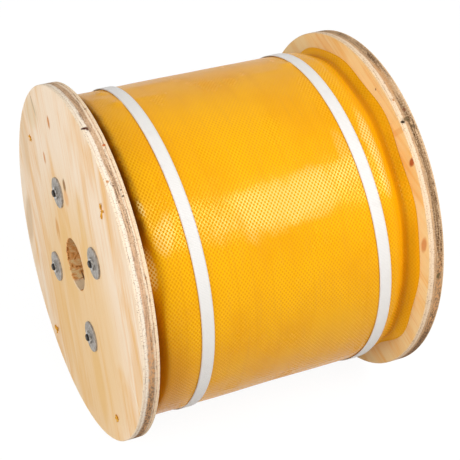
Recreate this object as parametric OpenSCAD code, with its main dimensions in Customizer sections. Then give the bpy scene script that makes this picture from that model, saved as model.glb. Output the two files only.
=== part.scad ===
// Wire spool: two plywood flanges drawn onto a fibre barrel by four tie rods,
// wound full of wire, covered by a woven wrap and held by two woven straps.
// The spool stands on its rims: its axis runs along X, +Z is up, and the
// origin lies on the ground below the middle. All sizes are in millimetres.
// Clock angles are counted from the top (+Z) towards the far side (+Y).

/* [Flanges] */
// Diameter of the two plywood flanges
flange_d = 406; // [380:1:600]
// Thickness of the plywood
flange_t = 19; // [12:0.5:25]
// Clear width between the flanges
traverse = 315; // [270:1:400]
// Bevel that eases the sawn rim and the edge of the arbor hole
edge_ease = 0.8; // [0.3:0.1:2]

/* [Arbor hole and barrel] */
// Diameter of the arbor hole through both flanges
arbor_d = 60; // [40:0.5:80]
// Outside diameter of the fibre barrel
barrel_d = 203; // [180:1:260]
// Wall of the barrel
barrel_wall = 8; // [5:0.5:10]
// Depth of the groove in each flange that a barrel end sits in
seat_depth = 5; // [3:0.5:8]
// Bevel on both edges of the barrel's ends
barrel_ease = 0.6; // [0.2:0.1:1.2]

/* [Tie rods] */
// Space between each rod and the inside of the barrel
rod_inset = 7; // [2:0.5:15]
// Clock angle of the first rod
rod_angle = 32; // [0:1:90]
// Diameter of the rods
rod_d = 8; // [6:0.5:10]
// Length of rod that shows beyond each nut
rod_stub = 2; // [1.5:0.5:8]
// Drilled clearance round the rods in the flanges and washers
rod_clearance = 0.4; // [0.2:0.1:0.6]
// Outside diameter of the washers
washer_d = 35; // [24:1:40]
// Thickness of the washers
washer_t = 2; // [1:0.25:3]
// Width across the flats of the nuts
nut_af = 13; // [11:0.5:19]
// Height of the nuts
nut_t = 3; // [2.5:0.5:8]

/* [Wire] */
// Distance from the flanges' rims down to the outer layer of wire
freeboard = 19.5; // [17:0.5:50]
// Width at each end where the last layers stop short of the flange
pack_short = 29; // [27:0.5:40]

/* [Wrap] */
// Thickness of the woven wrap
wrap_t = 1; // [0.6:0.1:1.5]
// Depth of the fold beside the left flange, below the wrap's surface
left_fold_depth = 25; // [20:0.5:30]
// Depth of the fold beside the right flange, below the wrap's surface
right_fold_depth = 16; // [12:0.5:24]
// Distance from the flange to the bottom of the fold
fold_in = 9; // [7:0.5:12]
// How far the turned-up edge stays below the wrap's surface
lip_drop = 4.5; // [3.5:0.5:7]
// Height of the waves along the turned-up edge
lip_wave = 1.8; // [0:0.1:2.2]
// Flats that the wrap and straps are drawn with, all the way round
wrap_steps = 60; // [48:12:72]

/* [Straps] */
// Width of the two woven straps
strap_w = 14; // [10:0.5:20]
// Thickness of the straps
strap_t = 1; // [0.6:0.1:1.5]
// Distance from the left flange to the middle of the left strap
left_strap_in = 57; // [47:0.5:115]
// Distance from the right flange to the middle of the right strap
right_strap_in = 48; // [47:0.5:115]
// How far the straps lean to one side
strap_lean = 2.2; // [0:0.1:3]
// Clock angle at which the left strap leans furthest to the left
left_lean_angle = 50; // [0:5:355]
// Clock angle at which the right strap leans furthest to the left
right_lean_angle = 30; // [0:5:355]
// How far the straps snake from side to side
strap_snake = 3; // [0:0.1:4]
// Clock angle of the buckles, on the far side
buckle_angle = 75; // [60:1:110]
// Diameter of the buckles' wire
buckle_wire = 3; // [2:0.25:4]
// Length of the buckles, along the strap
buckle_l = 30; // [24:1:40]
// Room inside the buckle at each edge of the strap
buckle_room = 0.8; // [0.5:0.1:2]

/* [Brads] */
// Diameter of the brads that pin the wrap's edge to the flanges
brad_d = 1.4; // [1:0.1:2]
// Diameter of the brads' heads
brad_head_d = 2.6; // [2.2:0.1:4]
// Thickness of the brads' heads
brad_head_t = 0.6; // [0.4:0.1:1]
// How far the brads' points stand out of the flange
brad_out = 1; // [0.5:0.1:3]

/* [Hidden] */
// Clearance of a piece that is seated but not tight
seat_gap = 0.3;
// Radial clearance of the nuts' and brads' holes round their shanks
thread_gap = 0.1;
$fn = 96;

axis_h = flange_d / 2;
half = traverse / 2;
face_x = half + flange_t;

rod_r = barrel_d / 2 - barrel_wall - rod_inset - rod_d / 2;
rod_angles = [for (i = [0 : 3]) rod_angle + 90 * i];
rod_hole_d = rod_d + 2 * rod_clearance;
rod_tip_x = face_x + washer_t + nut_t + rod_stub;
rod_bevel = rod_d / 10;

pack_r = flange_d / 2 - freeboard;
// A flat between two corners of the wrap lies this share of its radius out
flat_share = cos(180 / wrap_steps);
wrap_in_r = (pack_r + seat_gap) / flat_share;
wrap_r = wrap_in_r + wrap_t;
strap_in_r = wrap_r + seat_gap;
strap_r = strap_in_r + strap_t;
left_strap_x = left_strap_in - half;
right_strap_x = half - right_strap_in;

// The waves of the turned-up edge: [waves round the edge, share, clock angle]
LIP_WAVES = [[3, 1, 84], [8, 0.9, 137], [12, 0.9, -7]];
// The left edge's waves are the right edge's, turned by this angle
left_lip_angle = 47;
lip_reach = lip_wave * (1 + 0.9 + 0.9);
// The bottom of the fold follows the edge's waves by this share
fold_share = 0.3;
lip_mid_share = 0.4;
shoulder_in = pack_short - 1;
// A strap snakes furthest to the right this far round from its lean
snake_angle = 38;

// Places of the brads, as [clock angle, share of the way up the lip]
LEFT_BRADS = [[56, 0.25], [149, 0.85], [222, 0.8], [320.5, 0.15]];
RIGHT_BRADS = [[12, 0.5], [104, 0.6], [196, 0.4], [283, 0.5]];

// ---------- placing ----------

// A turned piece: its local Z runs along the spool's axis, starting at x
module along_axis(x) {
    translate([x, 0, axis_h]) rotate([0, 90, 0]) children();
}

// A point of the spool at a clock angle and a distance from the axis
module at_clock(angle, r) {
    translate([0, 0, axis_h]) rotate([-angle, 0, 0]) translate([0, 0, r]) children();
}

// What is drawn for the right side, or the same thing on the left side
module on_side(side) {
    mirror([side == "left" ? 1 : 0, 0, 0]) children();
}

// A point on the spool, from its place along the axis, radius and clock angle
function spool_point(x, r, a) = [x, r * sin(a), axis_h + r * cos(a)];

// The faces, as triangles, of rings of n points each: closed all the way round,
// or an open run of rings whose two ends are capped
function ring_faces(rings, n, closed) = concat(
    [for (i = [0 : closed ? rings - 1 : rings - 2], j = [0 : n - 1], half_quad = [0, 1])
        let (a = i * n + j, b = i * n + (j + 1) % n,
             c = ((i + 1) % rings) * n + (j + 1) % n, d = ((i + 1) % rings) * n + j)
        half_quad == 0 ? [a, b, c] : [a, c, d]],
    closed ? [] : [for (j = [1 : n - 2]) [0, j + 1, j]],
    closed ? [] : [for (j = [1 : n - 2]) let (e = (rings - 1) * n) [e, e + j, e + j + 1]]);

// ---------- flanges and barrel ----------

module flange(brads) {
    difference() {
        along_axis(half) rotate_extrude()
            polygon([[arbor_d / 2 + edge_ease, 0], [flange_d / 2 - edge_ease, 0],
                     [flange_d / 2, edge_ease], [flange_d / 2, flange_t - edge_ease],
                     [flange_d / 2 - edge_ease, flange_t], [arbor_d / 2 + edge_ease, flange_t],
                     [arbor_d / 2, flange_t - edge_ease], [arbor_d / 2, edge_ease]]);
        barrel_groove();
        for (a = rod_angles)
            at_clock(a, rod_r) rotate([0, 90, 0])
                translate([0, 0, half - 1]) cylinder(d = rod_hole_d, h = flange_t + 2);
        brad_holes(brads);
    }
}

module barrel_groove() {
    along_axis(half - 1) difference() {
        cylinder(d = barrel_d + 2 * seat_gap, h = seat_depth + 1);
        translate([0, 0, -1])
            cylinder(d = barrel_d - 2 * barrel_wall - 2 * seat_gap, h = seat_depth + 3);
    }
}

module left_flange() {
    color("burlywood") on_side("left") flange(left_brad_places);
}

module right_flange() {
    color("burlywood") on_side("right") flange(right_brad_places);
}

module barrel() {
    end = half + seat_depth - seat_gap;
    r_out = barrel_d / 2;
    r_in = r_out - barrel_wall;
    color("peru") along_axis(-end) rotate_extrude()
        polygon([[r_in + barrel_ease, 0], [r_out - barrel_ease, 0], [r_out, barrel_ease],
                 [r_out, 2 * end - barrel_ease], [r_out - barrel_ease, 2 * end],
                 [r_in + barrel_ease, 2 * end], [r_in, 2 * end - barrel_ease], [r_in, barrel_ease]]);
}

// ---------- tie rods, washers and nuts ----------

module tie_rod(i) {
    color("dimgray") at_clock(rod_angles[i - 1], rod_r) rotate([0, 90, 0])
        translate([0, 0, -rod_tip_x]) rotate_extrude($fn = 48)
            polygon([[0, 0], [rod_d / 2 - rod_bevel, 0], [rod_d / 2, rod_bevel],
                     [rod_d / 2, 2 * rod_tip_x - rod_bevel],
                     [rod_d / 2 - rod_bevel, 2 * rod_tip_x], [0, 2 * rod_tip_x]]);
}

module washer(side, i) {
    color("darkgray") on_side(side)
        at_clock(rod_angles[i - 1], rod_r) rotate([0, 90, 0])
            translate([0, 0, face_x]) difference() {
                cylinder(d = washer_d, h = washer_t, $fn = 72);
                translate([0, 0, -1]) cylinder(d = rod_hole_d, h = washer_t + 2, $fn = 48);
            }
}

// A hexagon whose corners are turned off at 30 degrees on the outer face
module nut(side, i) {
    corner_r = nut_af / 2 / cos(30);
    bevel_r = nut_af / 2 * 0.97;
    bevel_h = (corner_r - bevel_r) * tan(30);
    color("silver") on_side(side)
        at_clock(rod_angles[i - 1], rod_r) rotate([0, 90, 0])
            translate([0, 0, face_x + washer_t]) rotate([0, 0, 20 * i]) difference() {
                intersection() {
                    cylinder(r = corner_r, h = nut_t, $fn = 6);
                    rotate_extrude($fn = 72)
                        polygon([[0, 0], [corner_r + 1, 0], [corner_r + 1, nut_t - bevel_h],
                                 [corner_r, nut_t - bevel_h], [bevel_r, nut_t], [0, nut_t]]);
                }
                translate([0, 0, -1])
                    cylinder(d = rod_d + 2 * thread_gap, h = nut_t + 2, $fn = 48);
            }
}

// ---------- wire and wrap ----------

// The wound wire: the last layers stop short of the flanges, in a slope
module wire_pack() {
    end = half - seat_gap;
    r_in = barrel_d / 2 + seat_gap;
    r_end = wrap_r - max(left_fold_depth, right_fold_depth) - lip_reach * fold_share
        - wrap_t - 2 * seat_gap;
    color("saddlebrown") along_axis(-end) rotate_extrude()
        polygon([[r_in, 0], [r_end, 0], [r_end, fold_in], [pack_r, pack_short],
                 [pack_r, 2 * end - pack_short], [r_end, 2 * end - fold_in],
                 [r_end, 2 * end], [r_in, 2 * end]]);
}

// The lift of the turned-up edge's waves at a clock angle
function lip_wave_at(a) =
    lip_wave * [for (w = LIP_WAVES) w[1] * cos(w[0] * a - w[2])] * [for (w = LIP_WAVES) 1];

// One edge of the wrap at a clock angle, from the lip's edge to the shoulder,
// as [distance from the flange, radius] pairs: the side that shows, then its back
function edge_front(a, depth) =
    let (tip = wrap_r - lip_drop + lip_wave_at(a),
         low = wrap_r - depth + fold_share * lip_wave_at(a))
    [[seat_gap + wrap_t, tip],
     [fold_in * 0.4, low + (tip - low) * lip_mid_share],
     [fold_in, low],
     [fold_in + (shoulder_in - fold_in) * 0.4, low + (wrap_r - low) * 0.62],
     [shoulder_in, wrap_r]];
function edge_back(a, depth) =
    let (f = edge_front(a, depth))
    [[seat_gap, f[0][1]],
     [f[1][0] - wrap_t * 0.8, f[1][1] - wrap_t * 0.6],
     [f[2][0], f[2][1] - wrap_t],
     [f[3][0] + wrap_t * 0.5, f[3][1] - wrap_t * 0.9],
     [f[4][0], f[4][1] - wrap_t]];
function reversed(list) = [for (i = [len(list) - 1 : -1 : 0]) list[i]];

// The whole section of the wrap at a clock angle, right edge first
function wrap_ring(a) =
    let (left_a = a + left_lip_angle)
    concat([for (p = edge_front(a, right_fold_depth)) spool_point(half - p[0], p[1], a)],
           [for (p = reversed(edge_front(left_a, left_fold_depth)))
               spool_point(p[0] - half, p[1], a)],
           [for (p = edge_back(left_a, left_fold_depth)) spool_point(p[0] - half, p[1], a)],
           [for (p = reversed(edge_back(a, right_fold_depth)))
               spool_point(half - p[0], p[1], a)]);

module wrap() {
    rings = [for (i = [0 : wrap_steps - 1]) wrap_ring(360 / wrap_steps * i)];
    color("orange") difference() {
        polyhedron(points = [for (r = rings) each r],
                   faces = ring_faces(wrap_steps, len(rings[0]), true));
        on_side("left") brad_holes(left_brad_places);
        on_side("right") brad_holes(right_brad_places);
    }
}

// ---------- straps and buckles ----------

// Where a strap's middle runs, at a clock angle
function strap_x(x, turn, a) =
    x - strap_lean * cos(a - turn) + strap_snake * cos(2 * (a - turn - snake_angle));

// The section of a band at a clock angle, between two radii
function band_ring(x, turn, a, r_low, r_high) =
    let (m = strap_x(x, turn, a))
    [spool_point(m - strap_w / 2, r_low, a), spool_point(m - strap_w / 2, r_high, a),
     spool_point(m + strap_w / 2, r_high, a), spool_point(m + strap_w / 2, r_low, a)];

module strap(x, turn) {
    rings = [for (i = [0 : wrap_steps - 1])
        band_ring(x, turn, 360 / wrap_steps * i, strap_in_r, strap_r)];
    polyhedron(points = [for (r = rings) each r], faces = ring_faces(wrap_steps, 4, true));
    strap_tail(x, turn);
}

// The end of the strap that comes back over the buckle's bars and lies down
module strap_tail(x, turn) {
    steps = 24;
    reach = 15;
    over = strap_r + 2 * seat_gap + buckle_wire;
    rings = [for (i = [0 : steps])
        let (a = buckle_angle - reach + 2 * reach * i / steps,
             lift = pow(cos(90 * (a - buckle_angle) / reach), 2),
             low = strap_r + seat_gap + (over - strap_r) * min(1, 1.6 * lift))
        band_ring(x, turn, a, low, low + strap_t)];
    polyhedron(points = [for (r = rings) each r], faces = ring_faces(steps + 1, 4, false));
}

module left_strap() {
    color("white") strap(left_strap_x, left_lean_angle);
}

module right_strap() {
    color("white") strap(right_strap_x, right_lean_angle);
}

// A bent wire frame with two rails, two end bars and a middle bar
module buckle(x, turn) {
    rail = strap_w / 2 + buckle_room + buckle_wire / 2;
    bar = buckle_l / 2 - buckle_wire / 2;
    at_clock(buckle_angle, strap_r + seat_gap + buckle_wire / 2)
        translate([strap_x(x, turn, buckle_angle), 0, 0]) {
            for (s = [-1, 1]) {
                translate([s * rail, -bar, 0]) rotate([-90, 0, 0])
                    cylinder(d = buckle_wire, h = 2 * bar, $fn = 24);
                translate([-rail, s * bar, 0]) rotate([0, 90, 0])
                    cylinder(d = buckle_wire, h = 2 * rail, $fn = 24);
                for (t = [-1, 1])
                    translate([s * rail, t * bar, 0]) sphere(d = buckle_wire, $fn = 24);
            }
            translate([-rail, 0, 0]) rotate([0, 90, 0])
                cylinder(d = buckle_wire, h = 2 * rail, $fn = 24);
        }
}

module left_buckle() {
    color("lightsteelblue") buckle(left_strap_x, left_lean_angle);
}

module right_buckle() {
    color("lightsteelblue") buckle(right_strap_x, right_lean_angle);
}

// ---------- brads ----------

// The lip's surface at a clock angle, from the bottom of the fold up to its edge
function lip_side(a, depth) = let (f = edge_front(a, depth)) [f[2], f[1], f[0]];
function brad_r(lip, share) = lip[0][1] + share * (lip[2][1] - lip[0][1]);
function brad_head_in(lip, share) =
    lookup(brad_r(lip, share) - brad_head_d / 2, [for (p = lip) [p[1], p[0]]]) + seat_gap;

// Each place as [clock angle, lip side, share of the way up]
left_brad_places = [for (b = LEFT_BRADS) [b[0], lip_side(b[0] + left_lip_angle, left_fold_depth), b[1]]];
right_brad_places = [for (b = RIGHT_BRADS) [b[0], lip_side(b[0], right_fold_depth), b[1]]];

// The holes that the brads make through the wrap's edge and a flange
module brad_holes(places) {
    for (b = places)
        at_clock(b[0], brad_r(b[1], b[2])) rotate([0, 90, 0]) {
            head_x = half - brad_head_in(b[1], b[2]);
            translate([0, 0, head_x])
                cylinder(d = brad_d + 2 * thread_gap, h = face_x + 1 - head_x, $fn = 24);
        }
}

module brads(places) {
    for (b = places)
        at_clock(b[0], brad_r(b[1], b[2])) rotate([0, 90, 0]) {
            head_x = half - brad_head_in(b[1], b[2]);
            translate([0, 0, head_x])
                cylinder(d = brad_d, h = face_x + brad_out - head_x, $fn = 24);
            translate([0, 0, head_x - brad_head_t])
                cylinder(d = brad_head_d, h = brad_head_t, $fn = 24);
        }
}

module left_brads() {
    color("gray") on_side("left") brads(left_brad_places);
}

module right_brads() {
    color("gray") on_side("right") brads(right_brad_places);
}

left_flange();
right_flange();
barrel();
tie_rod(1);  // tie_rod_1
tie_rod(2);  // tie_rod_2
tie_rod(3);  // tie_rod_3
tie_rod(4);  // tie_rod_4
washer("left", 1);  // left_washer_1
washer("left", 2);  // left_washer_2
washer("left", 3);  // left_washer_3
washer("left", 4);  // left_washer_4
washer("right", 1);  // right_washer_1
washer("right", 2);  // right_washer_2
washer("right", 3);  // right_washer_3
washer("right", 4);  // right_washer_4
nut("left", 1);  // left_nut_1
nut("left", 2);  // left_nut_2
nut("left", 3);  // left_nut_3
nut("left", 4);  // left_nut_4
nut("right", 1);  // right_nut_1
nut("right", 2);  // right_nut_2
nut("right", 3);  // right_nut_3
nut("right", 4);  // right_nut_4
wire_pack();
wrap();
left_strap();
right_strap();
left_buckle();
right_buckle();
left_brads();
right_brads();
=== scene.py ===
"""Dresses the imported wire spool: plywood, fibre barrel, steel, woven wrap, straps and stage."""

import math

import bpy
import numpy as np
from bpy.props import FloatProperty, FloatVectorProperty, IntProperty, PointerProperty
from mathutils import Matrix, Vector


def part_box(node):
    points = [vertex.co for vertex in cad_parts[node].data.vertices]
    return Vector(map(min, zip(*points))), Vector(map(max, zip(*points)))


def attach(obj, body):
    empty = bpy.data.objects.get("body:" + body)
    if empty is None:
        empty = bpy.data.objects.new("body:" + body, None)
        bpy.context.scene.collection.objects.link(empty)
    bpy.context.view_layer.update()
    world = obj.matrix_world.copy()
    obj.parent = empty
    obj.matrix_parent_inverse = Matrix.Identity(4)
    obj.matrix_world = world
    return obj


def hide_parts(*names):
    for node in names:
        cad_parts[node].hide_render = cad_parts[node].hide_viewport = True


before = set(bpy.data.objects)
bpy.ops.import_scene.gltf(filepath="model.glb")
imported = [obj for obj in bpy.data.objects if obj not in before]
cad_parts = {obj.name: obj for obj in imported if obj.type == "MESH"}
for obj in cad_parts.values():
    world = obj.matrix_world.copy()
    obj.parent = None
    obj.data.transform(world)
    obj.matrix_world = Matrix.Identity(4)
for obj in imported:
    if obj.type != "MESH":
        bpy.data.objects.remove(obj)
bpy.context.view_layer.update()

bl_info = {
    "name": "Wire spool finish",
    "version": (1, 0, 0),
    "blender": (4, 5, 0),
    "location": "3D View > Sidebar > Spool",
    "description": "Gives the wire spool its wood, steel, woven wrap and straps",
    "category": "Object",
}

MM = 0.001
LEFT_LOW, LEFT_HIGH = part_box("left_flange")
AXIS_H = round((LEFT_LOW.z + LEFT_HIGH.z) / 2, 3)
FACE_X = -round(LEFT_LOW.x, 4)
INNER_X = -round(LEFT_HIGH.x, 4)
PLY_T = FACE_X - INNER_X
RIM_R = AXIS_H


# --- sizes and colours that a user would change ---


def number(name, description, default, **limits):
    return FloatProperty(name=name, description=description, default=default, **limits)


def length(name, description, default, low=0.0, high=1.0):
    return number(name, description, default, min=low, max=high, unit="LENGTH",
                  subtype="DISTANCE")


def angle(name, description, degrees):
    return number(name, description, math.radians(degrees), unit="ROTATION", subtype="ANGLE")


def colour(name, description, default):
    return FloatVectorProperty(name=name, description=description, default=default, size=3,
                               min=0.0, max=1.0, subtype="COLOR")


def rgb(*screen):
    """A screen colour, 0 to 255, as the linear colour that the nodes read."""
    shares = (value / 255 for value in screen)
    return tuple(c / 12.92 if c <= 0.04045 else ((c + 0.055) / 1.055) ** 2.4 for c in shares)


class SpoolStageSettings(bpy.types.PropertyGroup):
    lens: number("Lens", "Focal length of the camera", 102.57, min=20.0, max=300.0, unit="CAMERA")
    azimuth: angle("Azimuth", "Turn of the camera towards the left flange", 24.923)
    elevation: angle("Elevation", "Height of the camera as an angle", 31.925)
    distance: length("Distance", "From the middle of the spool", 1.5259, 0.3, 10.0)
    key_power: number("Key light", "Power of the large light in front, to the right", 17.0,
                      min=0.0, unit="POWER")
    fill_power: number("Fill light", "Power of the light that falls on the left flange", 19.0,
                       min=0.0, unit="POWER")
    room_light: number("Room light", "Strength of the even light from all round", 0.42,
                       min=0.0, max=2.0)


class SpoolWoodSettings(bpy.types.PropertyGroup):
    pale: colour("Pale wood", "Early wood of the left face", rgb(255, 233, 206))
    honey: colour("Honey streaks", "Late wood of the left face", rgb(240, 182, 98))
    inner_pale: colour("Pale inside", "Early wood of the right flange", rgb(252, 224, 166))
    inner_honey: colour("Honey inside", "Late wood of the right flange", rgb(244, 186, 94))
    grain_turn: angle("Grain", "Turn of the left flange's grain from upright", 18.2)


class SpoolWrapSettings(bpy.types.PropertyGroup):
    cloth: colour("Cloth", "Colour of the woven tape", rgb(255, 187, 0))
    thickness: length("Thickness", "Thickness of the cloth", 0.0005, 0.0002, 0.002)
    tape_along: length("Weave along", "One repeat of the weave along the axis", 0.00425)
    tape_round: length("Weave round", "One repeat of the weave round the spool", 0.0054)
    overlap: angle("Overlap", "How far the outer end lies over the inner end", 12.0)
    seam: angle("Seam", "Clock angle of the inner end", 100.0)


class SpoolStrapSettings(bpy.types.PropertyGroup):
    webbing: colour("Webbing", "Colour of the woven straps", rgb(240, 237, 233))
    thickness: length("Thickness", "Thickness of the straps", 0.0009)
    rib_pitch: length("Rib pitch", "Distance between the weave's ribs", 0.0016)
    rib_height: length("Rib height", "Height of the weave's ribs", 0.00007)


class SpoolSteelSettings(bpy.types.PropertyGroup):
    washer: colour("Washers", "Dull zinc of the washers", rgb(178, 171, 162))
    nut: colour("Nuts", "Bright zinc of the nuts", rgb(214, 212, 208))
    rod: colour("Rods", "Black steel of the rods", rgb(46, 42, 39))
    thread_pitch: length("Thread pitch", "Pitch of the rods' thread", 0.00125)


class SpoolTuftSettings(bpy.types.PropertyGroup):
    fibre: colour("Fibres", "Colour of the torn cloth fibres", rgb(250, 190, 40))
    fibre_radius: length("Fibre radius", "Radius of one fibre", 0.00045)
    fibres: IntProperty(
        name="Fibres", description="Fibres in one prong", default=20, min=2, max=60
    )


# --- node trees ---


class Nodes:
    """Writes one node tree, a node at a time."""

    def __init__(self, tree):
        self.tree = tree

    def add(self, kind, inputs=None, **settings):
        node = self.tree.nodes.new(kind)
        for name, value in settings.items():
            setattr(node, name, value)
        for name, value in (inputs or {}).items():
            self.feed(node.inputs[name], value)
        return node

    def feed(self, socket, value):
        if isinstance(value, bpy.types.Node):
            value = value.outputs[0]
        if isinstance(value, bpy.types.NodeSocket):
            self.tree.links.new(value, socket)
        elif socket.type == "RGBA":
            socket.default_value = (*value[:3], 1.0)
        else:
            socket.default_value = value

    def math(self, operation, a, b=0.0):
        return self.add("ShaderNodeMath", {0: a, 1: b}, operation=operation)

    def plus(self, a, b):
        return self.math("ADD", a, b)

    def minus(self, a, b):
        return self.math("SUBTRACT", a, b)

    def times(self, value, *others):
        for other in others:
            value = self.math("MULTIPLY", value, other)
        return value

    def gap(self, a, b):
        return self.math("ABSOLUTE", self.minus(a, b))

    def wave(self, value, pitch):
        """From -1 to 1 and back in each pitch."""
        return self.math("COSINE", self.times(value, 2 * math.pi / pitch))

    def vector(self, operation, a, b=(0, 0, 0)):
        return self.add("ShaderNodeVectorMath", {0: a, 1: b}, operation=operation)

    def span(self, value, low, high, to_low=0.0, to_high=1.0):
        """value, from low to high, becomes to_low to to_high."""
        return self.add(
            "ShaderNodeMapRange",
            {0: value, 1: low, 2: high, 3: to_low, 4: to_high},
            interpolation_type="SMOOTHSTEP",
        )

    def blend(self, share, a, b):
        return self.add("ShaderNodeMix", {0: share, 6: a, 7: b}, data_type="RGBA").outputs[2]

    def stain(self, tint, *layers):
        """Lays colours over a tint: (field, low, high, share, colour) gives the colour its
        share where the field goes from low to high, times whatever follows it."""
        for field, low, high, share, over, *limits in layers:
            share = self.times(self.span(field, low, high, 0.0, share), *limits)
            tint = self.blend(share, tint, over)
        return tint

    def noise(self, place, scale, detail=3.0, rough=0.55, twist=0.0):
        """Noise of one scale, or of its own scale in each of three directions."""
        if isinstance(scale, tuple):
            place, scale = self.vector("MULTIPLY", place, scale), 1.0
        return self.add(
            "ShaderNodeTexNoise",
            {"Vector": place, "Scale": scale, "Detail": detail, "Roughness": rough,
             "Distortion": twist},
        )

    def reach(self, place, at, size, turn, ragged, amount):
        """How far a place is from the middle of a ragged oval, as a share of its size."""
        spot = self.add(
            "ShaderNodeMapping",
            {"Vector": place, "Location": at, "Rotation": turn, "Scale": size},
            vector_type="TEXTURE",
        )
        far = self.vector("LENGTH", spot).outputs["Value"]
        return self.plus(far, self.times(self.minus(ragged, 0.5), amount))

    def ramp(self, value, stops):
        """A colour ramp from (place, colour) stops."""
        node = self.add("ShaderNodeValToRGB", {0: value})
        points = node.color_ramp.elements
        while len(points) < len(stops):
            points.new(0.5)
        for point, (place, tint) in zip(points, stops):
            point.position = place
            point.color = (*tint, 1.0)
        return node

    def shown_directly(self):
        """1 for what the camera sees, also in metal and through glass, 0 for what lights."""
        ray = self.add("ShaderNodeLightPath").outputs
        direct = self.math("MAXIMUM", ray["Is Camera Ray"], ray["Is Transmission Ray"])
        return self.math("MAXIMUM", direct, ray["Is Glossy Ray"])


class Finish(Nodes):
    """A material for one of the spool's finishes, painted on Object coordinates."""

    def __init__(self, name, **constants):
        self.material = bpy.data.materials.new(name)
        self.material.use_nodes = True
        super().__init__(self.material.node_tree)
        self.shader = self.tree.nodes["Principled BSDF"]
        for socket, value in constants.items():
            self.feed(self.shader.inputs[socket.replace("_", " ")], value)
        self.place = self.add("ShaderNodeTexCoord").outputs["Object"]

    def from_axis(self, turn=0.0):
        """Object coordinates with the spool's axis as their X axis, turned about it."""
        centred = self.add(
            "ShaderNodeMapping", {"Vector": self.place, "Location": (0, 0, -AXIS_H)}
        )
        return self.add("ShaderNodeMapping", {"Vector": centred, "Rotation": (turn, 0, 0)})

    def fields(self, place):
        """Place along the axis, height over it, distance from it, and clock angle."""
        x, y, z = self.add("ShaderNodeSeparateXYZ", {0: place}).outputs
        flat = self.vector("MULTIPLY", place, (0, 1, 1))
        return x, z, self.vector("LENGTH", flat).outputs["Value"], self.math("ARCTAN2", y, z)

    def bump(self, height, distance, strength):
        return self.add(
            "ShaderNodeBump", {"Height": height, "Distance": distance, "Strength": strength}
        )

    def finish(self, tint, rough=None, normal=None):
        for name, value in (("Base Color", tint), ("Roughness", rough), ("Normal", normal)):
            if value is not None:
                self.feed(self.shader.inputs[name], value)
        return self.material


class Shape(Nodes):
    """A Geometry Nodes tree that takes a mesh, named inputs and a material."""

    def __init__(self, name, **inputs):
        super().__init__(bpy.data.node_groups.new(name, "GeometryNodeTree"))
        self.socket("Mesh", "INPUT", "Geometry")
        for label, kind in (*inputs.items(), ("Material", "Material")):
            self.socket(label.replace("_", " "), "INPUT", kind)
        self.socket("Mesh", "OUTPUT", "Geometry")
        self.inputs = self.add("NodeGroupInput").outputs

    def socket(self, name, way, kind):
        self.tree.interface.new_socket(name=name, in_out=way, socket_type="NodeSocket" + kind)

    def circle(self, corners, radius):
        return self.add(
            "GeometryNodeCurvePrimitiveCircle", {"Resolution": corners, "Radius": radius}
        )

    def sweep(self, curve, profile, **more):
        return self.add("GeometryNodeCurveToMesh",
                        {"Curve": curve, "Profile Curve": profile, "Fill Caps": True, **more})

    def captured(self, geometry, value, kind, domain):
        """The geometry with a value kept on it, and that value."""
        node = self.add("GeometryNodeCaptureAttribute", domain=domain)
        node.capture_items.new(kind, "value")
        self.feed(node.inputs["Geometry"], geometry)
        self.feed(node.inputs["value"], value)
        return node.outputs["Geometry"], node.outputs["value"]

    def moved(self, geometry, way, amount):
        offset = self.add("ShaderNodeVectorMath", {0: way, "Scale": amount}, operation="SCALE")
        return self.add("GeometryNodeSetPosition", {"Geometry": geometry, "Offset": offset})

    def give(self, mesh):
        real = self.add("GeometryNodeRealizeInstances", {0: mesh})
        painted = self.add(
            "GeometryNodeSetMaterial", {"Geometry": real, "Material": self.inputs["Material"]}
        )
        self.add("NodeGroupOutput", {0: painted})
        return self.tree


def new_object(name, data):
    made = bpy.data.objects.new(name, data)
    bpy.context.scene.collection.objects.link(made)
    return made


def shape_piece(name, mesh, tree, **values):
    """Runs a Geometry Nodes tree on a mesh, and returns the result as a plain object."""
    carrier = new_object(name + "_path", mesh)
    modifier = carrier.modifiers.new("shape", "NODES")
    modifier.node_group = tree
    sockets = {i.name: i.identifier for i in tree.interface.items_tree if i.in_out == "INPUT"}
    for label, value in values.items():
        modifier[sockets[label.replace("_", " ")]] = value
    bpy.context.view_layer.update()
    result = carrier.evaluated_get(bpy.context.evaluated_depsgraph_get())
    plain = bpy.data.meshes.new_from_object(result)
    carrier.modifiers.remove(modifier)
    bpy.data.objects.remove(carrier)
    return add_piece(name, plain)


def add_piece(name, mesh):
    mesh.name = name
    piece = new_object(name, mesh)
    mesh.shade_smooth()
    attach(piece, "root")
    return piece


def dress(node, material):
    """Gives a carried-over CAD node its finish."""
    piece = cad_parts[node]
    piece.data.materials.clear()
    piece.data.materials.append(material)


def path_mesh(name, lines, **vectors):
    """A mesh of poly-lines from (points, closed) pairs, with named vectors on its points."""
    points, edges = [], []
    for line, closed in lines:
        start = len(points)
        points.extend(line)
        edges.extend((start + i, start + i + 1) for i in range(len(line) - 1))
        if closed:
            edges.append((len(points) - 1, start))
    mesh = bpy.data.meshes.new(name)
    mesh.from_pydata([tuple(p) for p in points], edges, [])
    for label, values in vectors.items():
        field = mesh.attributes.new(label, "FLOAT_VECTOR", "POINT")
        field.data.foreach_set("vector", np.asarray(values, float).ravel())
    return mesh


def clock_point(x, r, degrees):
    """A point from its place along the axis, radius and clock angle, all in metres."""
    a = math.radians(degrees)
    return (x, r * math.sin(a), AXIS_H + r * math.cos(a))


# --- plywood ---

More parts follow.
